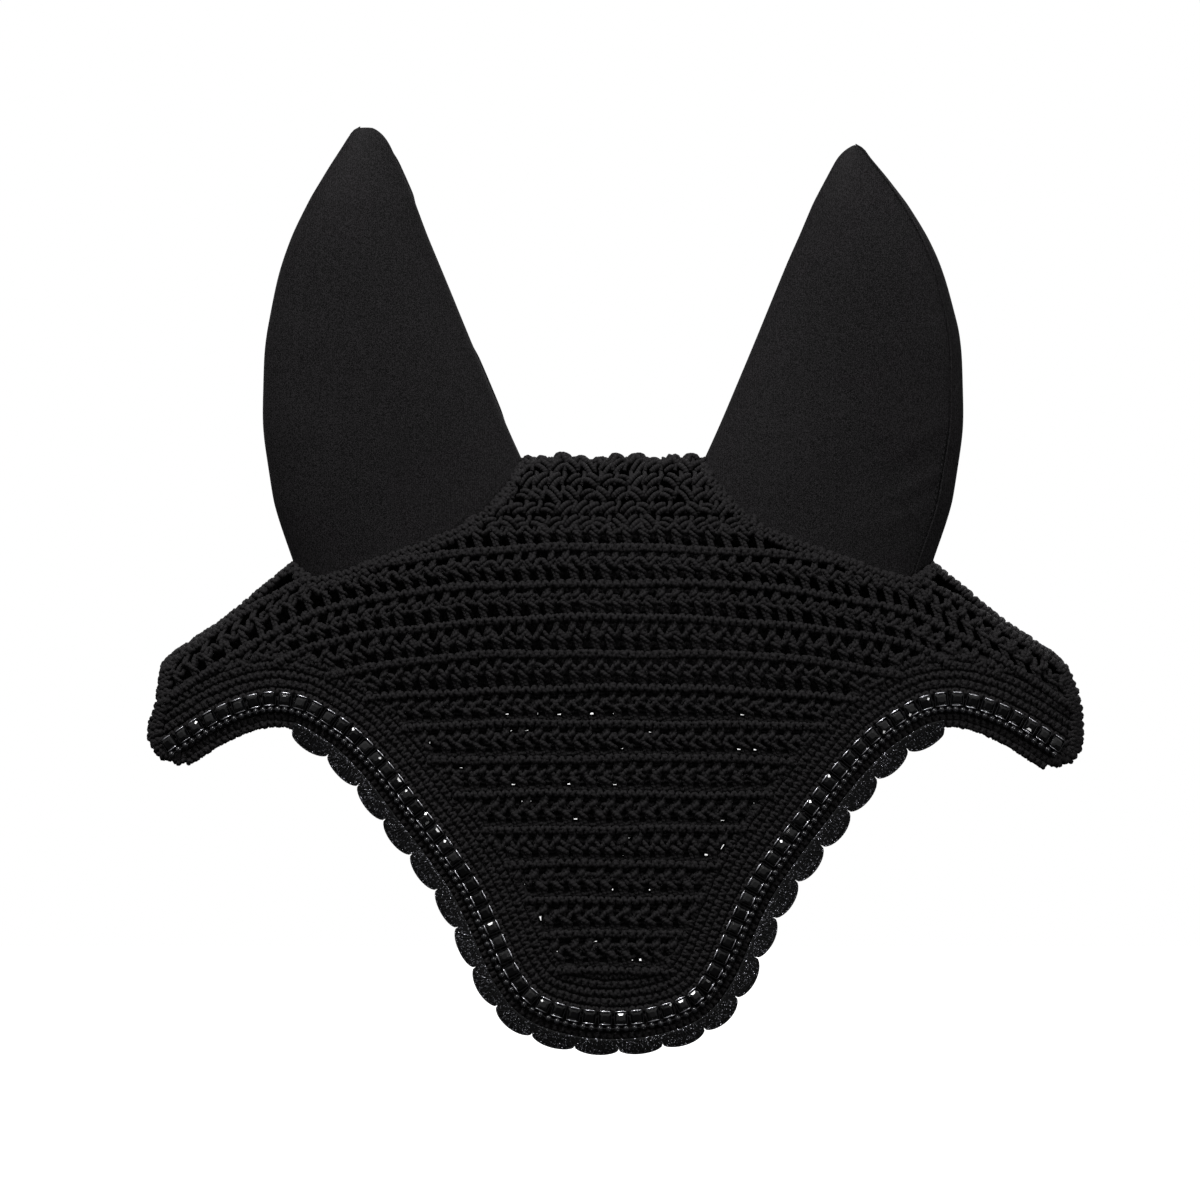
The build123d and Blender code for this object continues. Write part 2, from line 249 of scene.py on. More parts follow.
def whole_cells(inside):
    """Which cells of a grid have all their corners inside."""
    return inside[1:, 1:] & inside[1:, :-1] & inside[:-1, 1:] & inside[:-1, :-1]


# ---- Yarn -------------------------------------------------------------------------------------
END_TAPER = 0.45


class Strands:
    """Gathers tubes of yarn and turns them into one mesh."""

    def __init__(self, sides=6):
        self.sides = sides
        self.places, self.faces, self.twist = [], [], []
        self.caps, self.count = [], 0

    def add(self, places, outs, radius):
        """Tubes along one or more rows of places; outs point away from the surface."""
        if places.ndim == 2:
            places, outs = places[None], outs[None]
        tubes, points, sides = places.shape[0], places.shape[1], self.sides
        along = unit(np.gradient(places, axis=1))
        across = unit(np.cross(along, outs))
        up = np.cross(across, along)
        angle = np.arange(sides) * 2 * math.pi / sides
        taper = np.ones(points)
        taper[[0, -1]] = END_TAPER
        size = np.broadcast_to(np.asarray(radius, float), (tubes, points)) * taper
        ring = (up[:, :, None] * np.cos(angle)[:, None]
                + across[:, :, None] * np.sin(angle)[:, None])
        self.places.append((places[:, :, None] + ring * size[:, :, None, None]).reshape(-1, 3))
        pieces = np.linalg.norm(np.diff(places, axis=1, prepend=places[:, :1]), axis=2)
        twist = np.empty((tubes, points, sides, 3))
        twist[..., 0], twist[..., 1] = np.cos(angle), np.sin(angle)
        twist[..., 2] = np.cumsum(pieces, 1)[:, :, None]
        self.twist.append(twist.reshape(-1, 3))
        tube, point, side = np.meshgrid(np.arange(tubes), np.arange(points - 1), np.arange(sides),
                                        indexing="ij")
        start = self.count + (tube * points + point) * sides
        after = (side + 1) % sides
        quads = np.stack([start + side, start + after, start + sides + after,
                          start + sides + side], axis=-1)
        self.faces.append(quads.reshape(-1, 4))
        for first in self.count + np.arange(tubes) * points * sides:
            last = first + (points - 1) * sides
            self.caps += range(first + sides - 1, first - 1, -1), range(last, last + sides)
        self.count += tubes * points * sides

    def lay(self, x, z, lift, radius, rear=False):
        """Tubes on the hood."""
        self.add(*on_hood(x, z, lift, rear), radius)

    def piece(self, name, finish="cotton_yarn", body="root", slot="crochet"):
        """Makes the piece, which rides on a body."""
        mesh = bpy.data.meshes.new(name)
        faces = np.vstack(self.faces).tolist() + self.caps
        mesh.from_pydata((np.vstack(self.places) * MM).tolist(), [], faces)
        mesh.shade_smooth()
        attribute = mesh.attributes.new("yarn_twist", "FLOAT_VECTOR", "POINT")
        attribute.data.foreach_set("vector", np.vstack(self.twist).astype(np.float32).ravel())
        return finish_piece(name, mesh, finish, body)


def finish_piece(name, mesh, finish, body):
    """Links a mesh as a piece of the object."""
    piece = bpy.data.objects.new(name, mesh)
    bpy.context.scene.collection.objects.link(piece)
    mesh.materials.append(material(finish))
    if body:
        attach(piece, body)
    return piece


def sheet_piece(name, grid, finish, body, thickness, levels=0, keep=None):
    """Closed cloth sheet over a grid of places, thickness in mm; keep says which cells stay."""
    rows, columns = grid.shape[:2]
    index = np.arange(rows * columns).reshape(rows, columns)
    quads = np.stack([index[:-1, :-1], index[:-1, 1:], index[1:, 1:], index[1:, :-1]], axis=-1)
    if keep is not None:
        quads = quads[keep]
    quads = quads.reshape(-1, 4)
    used, quads = np.unique(quads, return_inverse=True)
    mesh = bpy.data.meshes.new(name)
    places = grid.reshape(-1, 3)[used] * MM
    mesh.from_pydata(places.tolist(), [], quads.reshape(-1, 4).tolist())
    piece = finish_piece(name, mesh, finish, None)
    solid = piece.modifiers.new("Thickness", "SOLIDIFY")
    solid.thickness = thickness * MM
    solid.offset = -1
    if levels:
        smooth = piece.modifiers.new("Smooth", "SUBSURF")
        smooth.levels = smooth.render_levels = levels
    depsgraph = bpy.context.evaluated_depsgraph_get()
    final = bpy.data.meshes.new_from_object(piece.evaluated_get(depsgraph))
    piece.modifiers.clear()
    piece.data = final
    final.shade_smooth()
    if body:
        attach(piece, body)
    return piece


STEPS_PER_STITCH = 8
HAND_SHIFT = 0.9


def braid(strands, line, lift, height, depth, pitch, radius, rear=False, phase=0.0):
    """Row of chain stitches along x and z of a line: yarns coiling one way and the other."""
    x, z = line
    length = np.concatenate([[0], np.cumsum(np.hypot(np.diff(x), np.diff(z)))])
    steps = max(int(length[-1] / pitch * STEPS_PER_STITCH), 4)
    places = np.linspace(0, length[-1], steps + 1)
    px, pz = np.interp(places, length, x), np.interp(places, length, z)
    dx, dz = np.gradient(px), np.gradient(pz)
    norm = np.hypot(dx, dz) + 1e-9
    uneven = 0.12 * np.sin(places * 0.37 + phase) + 0.1 * np.sin(places * 0.91 + 2 * phase)
    for hand, shift in ((1, 0), (-1, HAND_SHIFT)):
        turn = 2 * math.pi * places / pitch * hand + phase + shift + uneven * 4
        side = np.cos(turn) * height * (1 + uneven)
        strands.lay(px - dz / norm * side, pz + dx / norm * side, lift + np.sin(turn) * depth,
                    radius * (1 + uneven * 0.5), rear)


# ---- Materials ----------------------------------------------------------------------------------
class Value:
    """A socket in a material, so that shader maths reads as an expression."""

    def __init__(self, shader, socket):
        self.shader, self.socket = shader, socket

    def maths(self, operation, *terms):
        return self.shader.node("ShaderNodeMath", {"operation": operation}, dict(enumerate(terms)))

    def __add__(self, other):
        return self.maths("ADD", self, other)

    def __sub__(self, other):
        return self.maths("SUBTRACT", self, other)

    def __rsub__(self, other):
        return self.maths("SUBTRACT", other, self)

    def __mul__(self, other):
        return self.maths("MULTIPLY", self, other)

    __radd__ = __add__
    __rmul__ = __mul__


class Shader:
    """Builds one material on a Principled surface."""

    def __init__(self, name, **constants):
        self.material = bpy.data.materials.new(name)
        self.material.use_nodes = True
        self.tree = self.material.node_tree
        self.surface = self.tree.nodes["Principled BSDF"]
        for socket, value in constants.items():
            self.surface.inputs[socket.replace("_", " ")].default_value = value

    def node(self, kind, settings=None, sockets=None, output=0):
        """Adds a node; settings are its own, sockets are values or links. Gives its outputs."""
        node = self.tree.nodes.new(kind)
        for key, value in (settings or {}).items():
            setattr(node, key, value)
        for key, value in (sockets or {}).items():
            self.put(node.inputs[key], value)
        if isinstance(output, tuple):
            return [Value(self, node.outputs[part]) for part in output]
        return Value(self, node.outputs[output])

    def put(self, socket, value):
        """Sets or links a socket."""
        if isinstance(value, Value):
            self.tree.links.new(value.socket, socket)
        else:
            socket.default_value = value

    def feed(self, socket, value):
        """Feeds the surface."""
        self.put(self.surface.inputs[socket], value)

    def object_place(self):
        return self.node("ShaderNodeTexCoord", output="Object")

    def noise(self, scale, detail=2.0, place=None):
        return self.node("ShaderNodeTexNoise", {}, {"Vector": place or self.object_place(),
                                                    "Scale": scale, "Detail": detail})

    def mix(self, factor, first, second):
        return self.node("ShaderNodeMix", {"data_type": "RGBA"},
                         {0: factor, 6: first, 7: second}, 2)

    def bump(self, height, strength, distance):
        self.feed("Normal", self.node("ShaderNodeBump", {}, {
            "Height": height, "Strength": strength, "Distance": distance}))


def scaled(colour, factor):
    return (*[channel * factor for channel in colour[:3]], 1.0)


PLY_PITCH = 1.5


def yarn_material(name, colour, shine):
    """Plied cotton: two plies twisted round each strand, with fine fibres; its colour holds
    painted shade between the plies and painted highlight on their crests.
    """
    shader = Shader(name, IOR=1.45, Specular_IOR_Level=0.2, Sheen_Weight=shine,
                    Sheen_Roughness=0.4, Sheen_Tint=(0.8, 0.78, 0.8, 1))
    twist = shader.node("ShaderNodeAttribute", {"attribute_name": "yarn_twist"}, output="Vector")
    cosine, sine, along = shader.node("ShaderNodeSeparateXYZ", {}, {0: twist}, (0, 1, 2))
    phase = along * (2 * math.pi / PLY_PITCH)
    ply_ridges_and_shade = (phase.maths("SINE", phase) * cosine + phase.maths("COSINE", phase) * sine) * 0.5 + 0.5
    fibre = shader.noise(2600.0, 3.0)
    patch = shader.noise(160.0, 2.0)
    # Base colour: painted shade and highlight following the ply twist, plus fibre and patch noise
    # for random tone.
    tone_and_painted_light = ply_ridges_and_shade * 0.6 + fibre * 1.5 + patch * 0.5 - 0.8
    shader.feed("Base Color", shader.mix(tone_and_painted_light, scaled(colour, 0.35), scaled(colour, 1.9)))
    shader.feed("Roughness", 0.62 + fibre * 0.3)
    shader.bump(ply_ridges_and_shade * 0.7 + fibre * 0.5, 0.55, 0.0005)
    return shader.material


def knit_material(name, colour):
    """Fine stretch knit: tiny wales and a soft sheen, with a pale speckle that is painted sheen on
    the loops.
    """
    shader = Shader(name, IOR=1.42, Specular_IOR_Level=0.1, Sheen_Weight=0.02,
                    Sheen_Roughness=0.35, Sheen_Tint=(0.85, 0.83, 0.85, 1))
    place = shader.object_place()
    sheen_speckle = shader.noise(2600.0, 2.0, place)
    mottle = shader.noise(1100.0, 3.0, place)
    cloud = shader.noise(18.0, 2.0, place)
    wales = shader.node("ShaderNodeTexWave", {"wave_type": "BANDS", "bands_direction": "X"},
                        {"Vector": place, "Scale": 320.0, "Distortion": 1.5, "Detail": 1.0})
    # Base colour: the pale speckle is painted sheen on the loops; mottle, cloud and wales vary the
    # tone.
    tone_and_painted_light = sheen_speckle * 9.5 + mottle * 2.6 + cloud * 0.5 + wales * 0.3 - 6.1
    shader.feed("Base Color", shader.mix(tone_and_painted_light, scaled(colour, 0.45), scaled(colour, 3.2)))
    shader.feed("Roughness", 0.5 + sheen_speckle * 0.3)
    shader.bump(sheen_speckle * 0.6 + wales * 0.4, 0.35, 0.0003)
    return shader.material


DULL_FLAKES = 0.86


def glitter_material(name, colour):
    """Corded lace with metallic flakes twisted in."""
    shader = Shader(name, IOR=1.5, Specular_IOR_Level=0.15)
    place = shader.object_place()
    flake = shader.node("ShaderNodeTexVoronoi", {"feature": "F1"},
                        {"Vector": place, "Scale": 1900.0}, "Color")
    chance, tilt = shader.node("ShaderNodeSeparateColor", {}, {0: flake}, (0, 1))
    lit = chance.maths("GREATER_THAN", chance, DULL_FLAKES)
    shader.feed("Base Color", shader.mix(lit, scaled(colour, 1.0), (0.36, 0.36, 0.4, 1)))
    shader.feed("Metallic", lit * 0.9)
    shader.feed("Roughness", 0.7 - lit * 0.45)
    shader.bump(tilt * lit + shader.noise(1800.0, 2.0, place) * 0.4, 0.9, 0.0006)
    return shader.material


def metal_material(name, colour):
    """Dark plated metal, rubbed brighter in places."""
    shader = Shader(name, Metallic=1.0)
    wear = shader.noise(900.0, 3.0)
    shader.feed("Base Color", shader.mix(wear, scaled(colour, 0.6), scaled(colour, 1.5)))
    shader.feed("Roughness", 0.2 + wear * 0.3)
    return shader.material


def jet_material(name, colour, gloss):
    """Black cut glass or gloss bead, with slight differences from one to the next."""
    shader = Shader(name, IOR=1.5)
    haze = shader.noise(240.0, 2.0)
    shader.feed("Base Color", shader.mix(haze, scaled(colour, 0.6), scaled(colour, 1.8)))
    shader.feed("Roughness", gloss + haze * 0.06)
    return shader.material


# ---- Settings -----------------------------------------------------------------------------------
def length_setting(name, description, millimetres):
    return bpy.props.FloatProperty(name=name, description=description, default=millimetres * MM,
                                   unit="LENGTH")


def colour_setting(name, description, default):
    return bpy.props.FloatVectorProperty(name=name, description=description, default=default,
                                         size=3, subtype="COLOR")


class BonnetSizes(bpy.types.PropertyGroup):
    yarn: length_setting("Yarn radius", "Radius of the crochet yarn", 1.12)
    row: length_setting("Row height", "Height of one row of the net", 8.05)
    mesh: length_setting("Mesh pitch", "Distance between holes in a row", 7.6)
    stitch: length_setting("Stitch pitch", "Length of one chain stitch", 3.8)
    ear_cloth: length_setting("Ear cloth", "Thickness of the ear fabric", 1.0)
    lace_pitch: length_setting("Scallop pitch", "Length of one scallop", 20.0)


class BonnetColours(bpy.types.PropertyGroup):
    yarn: colour_setting("Yarn", "Colour of the crochet", (0.0070, 0.0063, 0.0069))
    ear: colour_setting("Ears", "Colour of the ear fabric", (0.0062, 0.0058, 0.0062))
    stone: colour_setting("Stones", "Colour of stones and beads", (0.003, 0.003, 0.0035))
    metal: colour_setting("Cups", "Colour of the stone cups", (0.03, 0.03, 0.032))


def in_mm(*names):
    """Sizes from the panel, in millimetres."""
    return [getattr(bpy.context.scene.bonnet_sizes, name) / MM for name in names]


materials = {}


def material(name):
    """The bonnet's materials, made when first used."""
    colours = bpy.context.scene.bonnet_colours
    makers = {
        "cotton_yarn": (yarn_material, colours.yarn, 0.02),
        # Darker copy of the crochet yarn without sheen: painted shade for yarns and sheets lying
        # behind the crochet.
        "lining_yarn": (yarn_material, scaled(colours.yarn, 0.7), 0.0),
        "stretch_knit": (knit_material, colours.ear),
        "glitter_cord": (glitter_material, (0.006, 0.006, 0.0065)),
        "dark_metal": (metal_material, colours.metal),
        # Light copy of the cup metal: painted highlight along the cups' rims.
        "bright_metal": (metal_material, (0.62, 0.62, 0.66)),
        "jet_stone": (jet_material, scaled(colours.stone, 0.6), 0.03),
        "gloss_bead": (jet_material, scaled(colours.stone, 3.0), 0.17),
    }
    if name not in materials:
        maker, *looks = makers[name]
        materials[name] = maker(name, *looks)
    return materials[name]


# ---- Crochet of the brow ------------------------------------------------------------------------
def row_line(level):
    """Run of one net row across the brow, sagging towards the wings, and where it is crochet."""
    x = np.linspace(-HALF_WIDTH, HALF_WIDTH, 865)
    reach = np.abs(x)
    sag = np.interp(level, [-135, -78], [0.25, 1.0])
    z = level - 35 * sag * (reach / 200) ** 2.6 - 0.25 * np.maximum(reach - 140, 0)
    z = z + 0.5 * np.sin(x * 0.045 + level) + 0.25 * np.sin(x * 0.13 + level * 2)
    inside = (z < crochet_top(x) - 1.5) & (z > border_top(x) - 6.5)
    return x, z, inside & (reach < hood_at(z)[0] * 0.996) & within_tips(x, z)


def runs(mask, shortest=10):
    """Unbroken runs of a row."""
    where = np.flatnonzero(mask)
    if not len(where):
        return []
    return [run for run in np.split(where, np.flatnonzero(np.diff(where) > 1) + 1)
            if len(run) > shortest]


def net_levels(row):
    """Levels of the net's rows from the crown down; every second one is a raised ridge."""
    first = -57.5 + 3 * row
    count = int((first + 236) / row) + 1
    return [(first - i * row + (0 if i % 2 else 1.1), i % 2 == 1) for i in range(count)]


def add_posts(strands, upper, lower, mesh, radius, slant, seed, tight):
    """Slanted posts between two rows: two yarns side by side and a third wrapped over them."""
    random = np.random.default_rng(seed)
    x, inside = upper[0], upper[2] & lower[2]
    stations = np.arange(-HALF_WIDTH, HALF_WIDTH, mesh) + mesh * 0.3 * (seed % 3)
    stations = stations + random.uniform(-0.8, 0.8, len(stations))
    stations = stations[np.interp(stations, x, inside) > 0.99]
    if not len(stations):
        return
    t = np.linspace(0, 1, 8)
    low = np.interp(stations, x, lower[1])
    high = np.interp(stations, x, upper[1])
    lean = (slant + random.uniform(-0.8, 0.8, len(stations)))[:, None]
    size = radius * tight * random.uniform(0.9, 1.12, (len(stations), 1))
    height = (high - low)[:, None]
    wrap = 0.5 if slant < 0 else 0.1
    for number in range(3):
        if number < 2:
            side = (number - 0.5) * 2 * size * 0.95
            px = stations[:, None] + lean * (t - 0.5) + side * (1 - 0.25 * np.sin(math.pi * t))
            pz = low[:, None] + height * t + side * 0.3 * math.copysign(1, slant)
            lift = -2.2 + (0.9 + number * 0.5) * np.sin(math.pi * t)
        else:
            px = stations[:, None] + lean * (1.3 * t - 0.65)
            pz = low[:, None] + height * (wrap + 0.4 * t)
            lift = -1.2 + 1.5 * np.sin(math.pi * t)
        strands.lay(px, pz, lift, size)


def add_infill(strands, upper, lower, radius, seed):
    """Slack yarns lying behind the holes of the close lower rows."""
    random = np.random.default_rng(seed)
    x = upper[0]
    for share in (0.27, 0.65):
        phase = random.uniform(0, 6, 4)
        wave = sum(0.15 * np.sin(x * rate + shift)
                   for rate, shift in zip((0.31, 0.83, 1.7, 2.3), phase))
        z = upper[1] * share + lower[1] * (1 - share) + wave
        for run in runs(upper[2] & lower[2]):
            strands.lay(x[run], z[run], BACKING_LIFT, radius)


def shade_sheet_rows(lines):
    """Dark sheet of painted shade behind the close rows, and which of its cells stay; a few are
    worn through.
    """
    every, worn_share, worn_chance, worn_reach = 3, 0.42, 0.055, 90
    random = np.random.default_rng(31)
    x = lines[0][0][::every]
    z, keep = [], []
    for upper, lower in zip(lines, lines[1:]):
        inside = (upper[2] & lower[2])[::every]
        for share in (0, 0.2, worn_share, 0.52, 0.78):
            z.append((upper[1] * (1 - share) + lower[1] * share)[::every])
            worn = ((random.random(len(x)) < worn_chance) & (share == worn_share)
                    & (np.abs(x) < worn_reach))
            keep.append((inside & ~worn)[:-1])
    z.append(lines[-1][1][::every])
    return on_hood(x, np.array(z), -3.0)[0], np.array(keep)


CLOSE_BELOW = -104      # rows whose holes are filled lie under this level


class BONNET_OT_brow_net(bpy.types.Operator):
    """Crochets the open net of the brow, with its ridges, braids and posts"""
    bl_idname = "bonnet.brow_net"
    bl_label = "Brow net"

    def execute(self, context):
        yarn, row, mesh, stitch = in_mm("yarn", "row", "mesh", "stitch")
        ridges, braids, infill = Strands(6), Strands(6), Strands(5)
        posts = {"upper": Strands(5), "lower": Strands(5)}
        lines, close = [], []
        for number, (level, ridge) in enumerate(net_levels(row)):
            line = row_line(level)
            lines.append(line)
            for run in runs(line[2]):
                part = line[0][run], line[1][run]
                if ridge:
                    braid(ridges, part, -0.7, 1.2, 0.9, stitch * 0.95, yarn * 0.95, phase=number)
                else:
                    braid(braids, part, -1.4, 1.8, 0.9, mesh, yarn * 1.05, phase=number)
        for number, (upper, lower) in enumerate(zip(lines, lines[1:])):
            middle = upper[1][len(upper[1]) // 2]
            tight = np.interp(middle, [-150, -100], [1.12, 0.86])
            slant = 2.0 if number % 2 else -3.6
            where = "upper" if middle > -100 else "lower"
            add_posts(posts[where], upper, lower, mesh, yarn, slant, 40 + number, tight)
            if middle < CLOSE_BELOW:
                close.append(number)
                add_infill(infill, upper, lower, yarn * 0.95, 90 + number)
        first = ridges.piece("brow_ridges")
        braids.piece("brow_braids")
        # The infill yarns take the darker yarn: painted shade for yarn lying behind the holes.
        infill.piece("brow_infill", "lining_yarn")
        # Dark sheet in the darker yarn behind the close rows: painted shade for what shows through
        # their gaps.
        grid, keep = shade_sheet_rows(lines[close[0]:])
        sheet_piece("brow_shade_sheet", grid[:, ::-1], "lining_yarn", "root", 0.4,
                    keep=keep[:, ::-1])
        for where, strands in posts.items():
            strands.piece(f"brow_posts_{where}")
        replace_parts(first, "front_net")
        return {"FINISHED"}


class BONNET_OT_crown(bpy.types.Operator):
    """Crochets the close, turned stitches at the crown and along the ear openings"""
    bl_idname = "bonnet.crown"
    bl_label = "Crown and ear rims"

    def execute(self, context):
        yarn, stitch = in_mm("yarn", "stitch")
        rows, row_height, pitch, highest = 5, 6.6, 7.4, 0.3
        random = np.random.default_rng(7)
        crown = Strands(6)
        for rear in (False, True):
            for number in range(rows):
                level = -3.8 - number * row_height
                reach = np.interp(level, base_line[:6, 1][::-1], base_line[:6, 0][::-1])
                stations = np.arange(-reach + 3, reach - 1, pitch) + (number % 2) * 3.4
                stations = stations[stations < reach - 2]
                stations = (stations + random.uniform(-1.3, 1.3, len(stations)))[:, None]
                t = np.linspace(0, 1, 10)
                tilt = random.uniform(1.4, 7.0, stations.shape)
                high = random.uniform(0.0, 1.3, stations.shape)
                turn = np.where(random.random(stations.shape) < 0.34, -1, 1)
                for strand in range(2):
                    shift = (strand - 0.5) * 2.5
                    bow = 1.3 * np.sin(math.pi * t)
                    x = stations + turn * (5.8 * (t - 0.5) + shift * 0.7)
                    z = np.minimum(level - shift * 0.85 + tilt * (t - 0.5) + bow - 0.6, highest)
                    lift = BACKING_LIFT + (1.7 + high - 0.3 * strand) * np.sin(math.pi * t)
                    crown.lay(x, z, lift, yarn * random.uniform(0.95, 1.3, stations.shape), rear)
                loop = np.linspace(0, 1, 8)
                x = stations + 3.6 + 0.8 * np.sin(6 * loop)
                z = np.minimum(level + 4.2 - 6.6 * loop, highest)
                crown.lay(x, z, -2.5 + 0.9 * np.sin(math.pi * loop), yarn, rear)
        x = np.linspace(-INNER_CORNER, INNER_CORNER, 60)
        wander = 0.75 * np.sin(x * 0.21) + 0.525 * np.sin(x * 0.5 + 1)
        for rear in (False, True):
            braid(crown, (x, wander - 0.9), -1.5, 1.5, 0.9, stitch * 2.3, yarn * 1.25, rear)
        crown.piece("crown_stitches")
        for name, side in SIDES.items():
            rim = Strands(6)
            line = curve_through(base_line * (side, 1), 1.0)
            for rear in (False, True):
                for drop, lift in ((1.2, -0.9), (3.9, -1.2)):
                    braid(rim, (line - (0, drop)).T, lift, 1.2, 0.75, stitch, yarn, rear)
            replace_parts(rim.piece(f"{name}_ear_rim_stitches"), f"{name}_ear_rim")
        return {"FINISHED"}


class BONNET_OT_borders(bpy.types.Operator):
    """Crochets the plain border, the rolled edge and the side folds"""
    bl_idname = "bonnet.borders"
    bl_label = "Borders and rolled edge"

    def execute(self, context):
        yarn, stitch = in_mm("yarn", "stitch")
        under_hem = 2.2
        border = Strands(5)
        rows = 7
        height = (BORDER_WIDTH + EDGE_START) / rows
        for number in range(rows):
            line = beside_chain(-BORDER_WIDTH + (number + 0.5) * height, 1.5)
            line = line[within_tips(*line.T, under_hem)]
            braid(border, line.T, -1.5, height * 0.3, 0.7, stitch * 0.9, yarn * 0.86,
                  phase=number * 1.3)
        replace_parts(border.piece("brow_border"), "front_border")
        # Dark sheet in the darker yarn behind the border and rolled edge: painted shade between
        # their stitches.
        x, z = self.between(beside_chain(-BORDER_WIDTH - 0.5, 4), beside_chain(EDGE_END - 2.5, 4))
        sheet_piece("brow_border_shade_sheet", on_hood(x, z, -2.4)[0], "lining_yarn", "root",
                    0.8, keep=whole_cells(within_tips(x, z, 0)))
        edge = Strands(6)
        for offset in (1.5, 4.6):
            line = beside_chain(EDGE_START + offset, 1.5, 6.0)
            line = line[within_tips(*line.T, under_hem)]
            edge.lay(*line.T, -2.2, 1.5)
            braid(edge, line.T, -0.9, 1.0, 0.7, stitch * 0.85, yarn * 0.92, phase=offset)
        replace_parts(edge.piece("rolled_edge_cords"), "rolled_edge")
        folds = Strands(6)
        for side in SIDES.values():
            self.close_side(folds, side, yarn, stitch)
        folds.piece("side_fold_stitches")
        return {"FINISHED"}

    def close_side(self, folds, side, yarn, stitch):
        """Braids down a side fold and round its wing tip, with a hem over the border's ends."""
        levels = np.linspace(-48.5, -90, 50)
        tip = np.array(WING_TIPS[side])[:8, ::-1] * (side, 1)
        fold = np.stack([side * hood_at(levels)[0] * 0.992, levels], axis=1)
        line = curve_through(np.vstack([fold, tip])[::2], 1.5)
        for rear in (False, True):
            braid(folds, line.T, -1.0, 1.3, 0.9, stitch, yarn, rear)
        braid(folds, (line + (-side * 3.4, 1.5)).T, -1.4, 1.5, 0.9, stitch, yarn, True)
        self.close_tip(folds, side, tip[:6], yarn)
        hem = curve_through(tip + (-side * 1.6, 1.2), 1.5)
        for inset in (0, 2.0):
            braid(folds, (hem + (-side * inset, inset * 0.5)).T, -0.7, 1.2, 0.8, stitch,
                  yarn * 1.1)

    def close_tip(self, strands, side, tip, yarn):
        """Rows of yarn round a wing tip, from the brow's side to the poll's."""
        line = curve_through(tip, 1.5)
        front, out = on_hood(line[:, 0], line[:, 1], -1.6)
        for share in np.linspace(-0.92, 0.92, 9):
            place = front * (1, share, 1)
            place[:, 0] += side * 1.6 * (math.sqrt(1 - share ** 2) - 0.6)
            place[:, 1] += 0.3 * np.sin(np.arange(len(line)) * 1.3 + share * 7)
            strands.add(place, out * (1, share, 1), yarn * 1.1)

    def between(self, inner, outer):
        """Grid of x and z between two lines."""
        share = np.linspace(0, 1, max(len(inner), len(outer)))
        lines = [np.stack([np.interp(share, np.linspace(0, 1, len(line)), column)
                           for column in line.T], axis=1) for line in (inner, outer)]
        t = np.linspace(0, 1, 7)[:, None, None]
        grid = lines[0][None] * (1 - t) + lines[1][None] * t
        return grid[..., 0], grid[..., 1]


class BONNET_OT_poll_panel(bpy.types.Operator):
    """Crochets the close rows of the panel behind the ears and its border"""
    bl_idname = "bonnet.poll_panel"
    bl_label = "Poll panel"

    def execute(self, context):
        yarn, stitch = in_mm("yarn", "stitch")
        rows = {"upper": Strands(5), "lower": Strands(5)}
        row_count, upper_rows, first, row_height = 26, 9, -37, 4.1
        x = np.linspace(-HALF_WIDTH, HALF_WIDTH, 433)
        for number in range(row_count):
            level = first - number * row_height
            z = level - 35 * (np.abs(x) / 200) ** 2.6 * np.interp(level, [-120, -70], [0.45, 1])
            inside = ((z < crochet_top(x) - 1.5) & (z > rear_edge(x, 9))
                      & (np.abs(x) < hood_at(z)[0] * 0.995) & within_tips(x, z))
            for run in runs(inside):
                braid(rows["upper" if number < upper_rows else "lower"], (x[run], z[run]),
                      -1.6, 1.5, 0.85, stitch, yarn, True, phase=number)
        border = Strands(5)
        x = np.linspace(-211, 211, 300)
        for rise in (1.3, 4.4, 7.5):
            line = np.stack([x, rear_edge(x, rise)])
            braid(border, line[:, within_tips(*line)], -1.3, 1.2, 0.8, stitch, yarn, True)
        for name, strands in rows.items():
            piece = strands.piece(f"poll_rows_{name}")
            if name == "upper":
                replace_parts(piece, "poll_panel")
        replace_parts(border.piece("poll_border_stitches"), "poll_border")
        # Dark sheet in the darker yarn behind the poll panel's rows: painted shade between their
        # stitches.
        x = np.linspace(-212, 212, 91)
        lower = rear_edge(x, 1.5)
        upper = np.where(np.abs(x) < INNER_CORNER, -1.0, crochet_top(x) - 1.5)
        t = np.linspace(0, 1, 25)[:, None]
        z = np.maximum(upper, lower + 1) * (1 - t) + lower * t
        keep = whole_cells(within_tips(*np.broadcast_arrays(x, z), 1))
        grid = on_hood(x, z, BACKING_LIFT, True)[0]
        sheet_piece("poll_shade_sheet", grid[:, ::-1], "lining_yarn", "root", 0.8,
                    keep=keep[:, ::-1])
        return {"FINISHED"}


